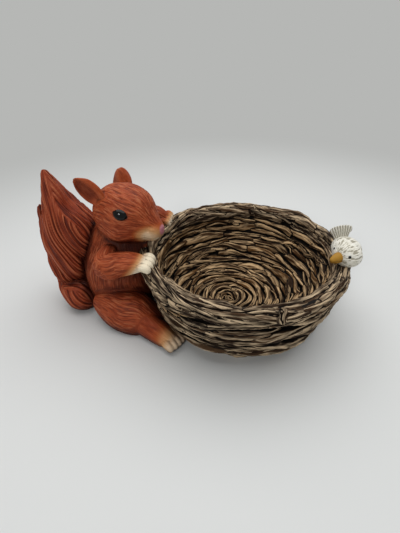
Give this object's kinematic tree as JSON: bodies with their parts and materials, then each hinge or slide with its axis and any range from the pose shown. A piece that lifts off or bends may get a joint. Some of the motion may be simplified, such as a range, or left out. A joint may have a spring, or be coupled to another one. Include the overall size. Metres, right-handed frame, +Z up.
{
  "type": "squirrel and nest holder figurine",
  "caption": "Resin figurine of a red squirrel hugging a round dish shaped like a twig nest, with a small bird on the far rim; holds small items, a candle or sweets.",
  "frame": {"origin": "middle of the nest's flat foot, on the table", "axes": "+Z up, +X from the squirrel towards the far side of the nest, the squirrel's right side at -Y"},
  "size_m": [0.2013, 0.132, 0.0962],
  "materials": {
    "russet_paint": "cast polyresin, satin russet paint with a dark wash in the carved fur",
    "twig_paint": "cast polyresin, brown paint with a black wash and tan dry brushing",
    "rim_paint": "cast polyresin, grey brown paint with a black wash and pale dry brushing",
    "bird_paint": "cast polyresin, cream paint with grey flecks",
    "beak_paint": "cast polyresin, yellow orange paint",
    "eye_gloss": "black bead under a clear gloss coat",
    "pin_steel": "plain steel wire"
  },
  "bodies": {
    "root": {"nest_bowl": "twig_paint", "nest_rim": "rim_paint", "torso": "russet_paint", "head": "russet_paint", "right_ear": "russet_paint", "left_ear": "russet_paint", "right_eye": "eye_gloss", "left_eye": "eye_gloss", "right_arm": "russet_paint", "left_arm": "russet_paint", "right_leg": "russet_paint", "left_leg": "russet_paint", "tail": "russet_paint", "bird_body": "bird_paint", "bird_tail": "bird_paint", "bird_beak": "beak_paint", "bird_pin": "pin_steel"}
  },
  "joints": []
}
